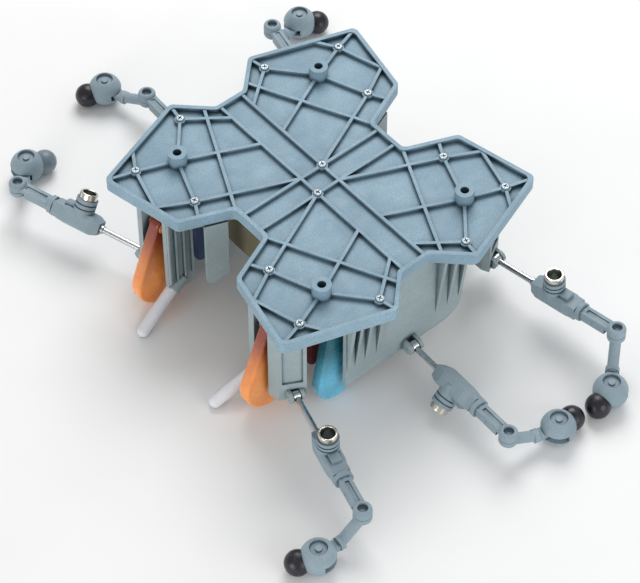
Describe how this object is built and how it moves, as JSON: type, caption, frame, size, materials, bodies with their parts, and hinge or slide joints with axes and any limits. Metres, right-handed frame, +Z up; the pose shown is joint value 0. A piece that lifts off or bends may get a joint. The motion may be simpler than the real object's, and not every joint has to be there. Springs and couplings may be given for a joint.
{
  "type": "hexapod spider robot",
  "caption": "Spider robot with an X-shaped ribbed deck on a hull of hanging walls, jointed legs on steel rods with rubber toes, hanging paddles and feelers.",
  "frame": {"origin": "centre of the four deck bosses' bolt pattern, on the plane of the bosses' tops", "axes": "+Z up out of the deck, the front of the robot along -Y, the robot's left along +X"},
  "size_m": [0.3489, 0.2542, 0.0833],
  "materials": {
    "deck_plastic": "moulded, fine satin grain",
    "hull_plastic": "moulded, fine satin grain",
    "leg_plastic": "moulded, satin",
    "rod_steel": "drawn and polished",
    "bush_metal": "plated, bright",
    "screw_steel": "bright plated",
    "toe_rubber": "smooth, slightly glossy",
    "toe_worn": "worn pale, matt",
    "feeler_plastic": "moulded, satin",
    "orange_plastic": "moulded, slightly translucent gloss",
    "blue_plastic": "moulded, slightly translucent gloss",
    "cell_wrap": "printed film without text",
    "board_green": "solder mask",
    "motor_red": "moulded, fine grain",
    "motor_blue": "moulded, fine grain",
    "battery_olive": "moulded, fine grain"
  },
  "bodies": {
    "chassis": {"deck_plate": "deck_plastic", "deck_screws": "screw_steel", "hull": "hull_plastic", "hull_pins": "rod_steel", "battery_box": "battery_olive", "battery_lid": "battery_olive", "battery_cells": "cell_wrap", "control_board": "board_green", "tail_skid": "hull_plastic", "gear_motor_left": "motor_red", "gear_motor_right": "motor_blue", "feelers": "feeler_plastic"},
    "blue_paddle_left": {"blue_paddle_left": "blue_plastic", "drive_shaft_left": "rod_steel"},
    "orange_paddle_left": {"orange_paddle_left": "orange_plastic"},
    "blue_paddle_right": {"blue_paddle_right": "blue_plastic", "drive_shaft_right": "rod_steel"},
    "orange_paddle_right": {"orange_paddle_right": "orange_plastic"},
    "front_left_upper_leg": {"front_left_rod": "rod_steel", "front_left_bar": "leg_plastic"},
    "front_left_collar": {"front_left_collar": "leg_plastic", "front_left_bush": "bush_metal"},
    "front_left_shin": {"front_left_shin": "leg_plastic"},
    "front_left_foot": {"front_left_foot": "leg_plastic", "front_left_toe": "toe_rubber"},
    "middle_left_upper_leg": {"middle_left_rod": "rod_steel", "middle_left_bar": "leg_plastic"},
    "middle_left_collar": {"middle_left_collar": "leg_plastic", "middle_left_bush": "bush_metal"},
    "middle_left_shin": {"middle_left_shin": "leg_plastic"},
    "middle_left_foot": {"middle_left_foot": "leg_plastic", "middle_left_toe": "toe_rubber"},
    "rear_left_upper_leg": {"rear_left_rod": "rod_steel", "rear_left_bar": "leg_plastic"},
    "rear_left_collar": {"rear_left_collar": "leg_plastic", "rear_left_bush": "bush_metal"},
    "rear_left_shin": {"rear_left_shin": "leg_plastic"},
    "rear_left_foot": {"rear_left_foot": "leg_plastic", "rear_left_toe": "toe_rubber"},
    "front_right_upper_leg": {"front_right_rod": "rod_steel", "front_right_bar": "leg_plastic"},
    "front_right_collar": {"front_right_collar": "leg_plastic", "front_right_bush": "bush_metal"},
    "front_right_shin": {"front_right_shin": "leg_plastic"},
    "front_right_foot": {"front_right_foot": "leg_plastic", "front_right_toe": "toe_worn"},
    "middle_right_upper_leg": {"middle_right_rod": "rod_steel", "middle_right_bar": "leg_plastic"},
    "middle_right_collar": {"middle_right_collar": "leg_plastic", "middle_right_bush": "bush_metal"},
    "middle_right_shin": {"middle_right_shin": "leg_plastic"},
    "middle_right_foot": {"middle_right_foot": "leg_plastic", "middle_right_toe": "toe_rubber"},
    "rear_right_upper_leg": {"rear_right_rod": "rod_steel", "rear_right_bar": "leg_plastic"},
    "rear_right_collar": {"rear_right_collar": "leg_plastic", "rear_right_bush": "bush_metal"},
    "rear_right_shin": {"rear_right_shin": "leg_plastic"},
    "rear_right_foot": {"rear_right_foot": "leg_plastic", "rear_right_toe": "toe_rubber"}
  },
  "joints": [
    {"name": "blue_paddle_left_swing", "type": "hinge", "parent": "chassis", "child": "blue_paddle_left", "pos_m": [0.062, -0.0435, -0.0273], "axis": [1, 0, 0], "range_deg": [-3.5, 40]},
    {"name": "orange_paddle_left_swing", "type": "hinge", "parent": "chassis", "child": "orange_paddle_left", "pos_m": [0.0436, -0.0685, -0.0273], "axis": [1, 0, 0], "range_deg": [-45, 3]},
    {"name": "blue_paddle_right_swing", "type": "hinge", "parent": "chassis", "child": "blue_paddle_right", "pos_m": [-0.062, -0.0435, -0.0273], "axis": [1, 0, 0], "range_deg": [-3.5, 40]},
    {"name": "orange_paddle_right_swing", "type": "hinge", "parent": "chassis", "child": "orange_paddle_right", "pos_m": [-0.0436, -0.0685, -0.0273], "axis": [1, 0, 0], "range_deg": [-45, 3]},
    {"name": "front_left_hip_lift", "type": "hinge", "parent": "chassis", "child": "front_left_upper_leg", "pos_m": [0.061, -0.0675, -0.0653], "axis": [-0.2823, -0.9593, 0], "range_deg": [0, 35]},
    {"name": "front_left_collar_turn", "type": "hinge", "parent": "front_left_upper_leg", "child": "front_left_collar", "pos_m": [0.061, -0.0675, -0.0653], "axis": [0.9581, -0.282, 0.0503], "range_deg": [-100, 100]},
    {"name": "front_left_knee", "type": "hinge", "parent": "front_left_upper_leg", "child": "front_left_shin", "pos_m": [0.13717, -0.08992, -0.0613], "axis": [0, 0, 1], "range_deg": [-18.4, 171.6]},
    {"name": "front_left_ankle", "type": "hinge", "parent": "front_left_shin", "child": "front_left_foot", "pos_m": [0.13579, -0.11619, -0.0742], "axis": [0, 0, 1], "range_deg": [-34, 86]},
    {"name": "middle_left_hip_lift", "type": "hinge", "parent": "chassis", "child": "middle_left_upper_leg", "pos_m": [0.075, -0.002, -0.0663], "axis": [-0.0297, -0.9996, 0], "range_deg": [0, 35]},
    {"name": "middle_left_collar_turn", "type": "hinge", "parent": "middle_left_upper_leg", "child": "middle_left_collar", "pos_m": [0.075, -0.002, -0.0663], "axis": [0.9995, -0.0297, 0.0069], "range_deg": [-225, 15]},
    {"name": "middle_left_knee", "type": "hinge", "parent": "middle_left_upper_leg", "child": "middle_left_shin", "pos_m": [0.14697, -0.00414, -0.0658], "axis": [0, 0, 1], "range_deg": [-170.7, 19.3]},
    {"name": "middle_left_ankle", "type": "hinge", "parent": "middle_left_shin", "child": "middle_left_foot", "pos_m": [0.1547, 0.02285, -0.0742], "axis": [0, 0, 1], "range_deg": [-80, 40]},
    {"name": "rear_left_hip_lift", "type": "hinge", "parent": "chassis", "child": "rear_left_upper_leg", "pos_m": [0.061, 0.0675, -0.0653], "axis": [0.1253, -0.9921, 0], "range_deg": [0, 35]},
    {"name": "rear_left_collar_turn", "type": "hinge", "parent": "rear_left_upper_leg", "child": "rear_left_collar", "pos_m": [0.061, 0.0675, -0.0653], "axis": [0.9892, 0.125, 0.0764], "range_deg": [-100, 100]},
    {"name": "rear_left_knee", "type": "hinge", "parent": "rear_left_upper_leg", "child": "rear_left_shin", "pos_m": [0.13865, 0.07731, -0.0593], "axis": [0, 0, 1], "range_deg": [-39.3, 150.7]},
    {"name": "rear_left_ankle", "type": "hinge", "parent": "rear_left_shin", "child": "rear_left_foot", "pos_m": [0.15537, 0.05842, -0.0742], "axis": [0, 0, 1], "range_deg": [-27.5, 92.5]},
    {"name": "front_right_hip_lift", "type": "hinge", "parent": "chassis", "child": "front_right_upper_leg", "pos_m": [-0.061, -0.0675, -0.0653], "axis": [-0.3223, 0.9466, 0], "range_deg": [0, 35]},
    {"name": "front_right_collar_turn", "type": "hinge", "parent": "front_right_upper_leg", "child": "front_right_collar", "pos_m": [-0.061, -0.0675, -0.0653], "axis": [-0.9455, -0.3219, 0.0503], "range_deg": [-134, 66]},
    {"name": "front_right_knee", "type": "hinge", "parent": "front_right_upper_leg", "child": "front_right_shin", "pos_m": [-0.13616, -0.09309, -0.0613], "axis": [0, 0, 1], "range_deg": [-32.2, 157.8]},
    {"name": "front_right_ankle", "type": "hinge", "parent": "front_right_shin", "child": "front_right_foot", "pos_m": [-0.15509, -0.07481, -0.0742], "axis": [0, 0, 1], "range_deg": [-4, 116]},
    {"name": "middle_right_hip_lift", "type": "hinge", "parent": "chassis", "child": "middle_right_upper_leg", "pos_m": [-0.075, -0.002, -0.0663], "axis": [0.0401, 0.9992, 0], "range_deg": [0, 35]},
    {"name": "middle_right_collar_turn", "type": "hinge", "parent": "middle_right_upper_leg", "child": "middle_right_collar", "pos_m": [-0.075, -0.002, -0.0663], "axis": [-0.9992, 0.0401, 0.0069], "range_deg": [-100, 100]},
    {"name": "middle_right_knee", "type": "hinge", "parent": "middle_right_upper_leg", "child": "middle_right_shin", "pos_m": [-0.14694, 0.00089, -0.0658], "axis": [0, 0, 1], "range_deg": [-116.3, 73.7]},
    {"name": "middle_right_ankle", "type": "hinge", "parent": "middle_right_shin", "child": "middle_right_foot", "pos_m": [-0.17348, -0.00825, -0.0742], "axis": [0, 0, 1], "range_deg": [-106, 14]},
    {"name": "rear_right_hip_lift", "type": "hinge", "parent": "chassis", "child": "rear_right_upper_leg", "pos_m": [-0.061, 0.0675, -0.0653], "axis": [0.1891, 0.982, 0], "range_deg": [0, 35]},
    {"name": "rear_right_collar_turn", "type": "hinge", "parent": "rear_right_upper_leg", "child": "rear_right_collar", "pos_m": [-0.061, 0.0675, -0.0653], "axis": [-0.9791, 0.1885, 0.0764], "range_deg": [-100, 100]},
    {"name": "rear_right_knee", "type": "hinge", "parent": "rear_right_upper_leg", "child": "rear_right_shin", "pos_m": [-0.13786, 0.0823, -0.0593], "axis": [0, 0, 1], "range_deg": [-29.4, 160.6]},
    {"name": "rear_right_ankle", "type": "hinge", "parent": "rear_right_shin", "child": "rear_right_foot", "pos_m": [-0.14375, 0.10683, -0.0742], "axis": [0, 0, 1], "range_deg": [-19, 101]}
  ]
}
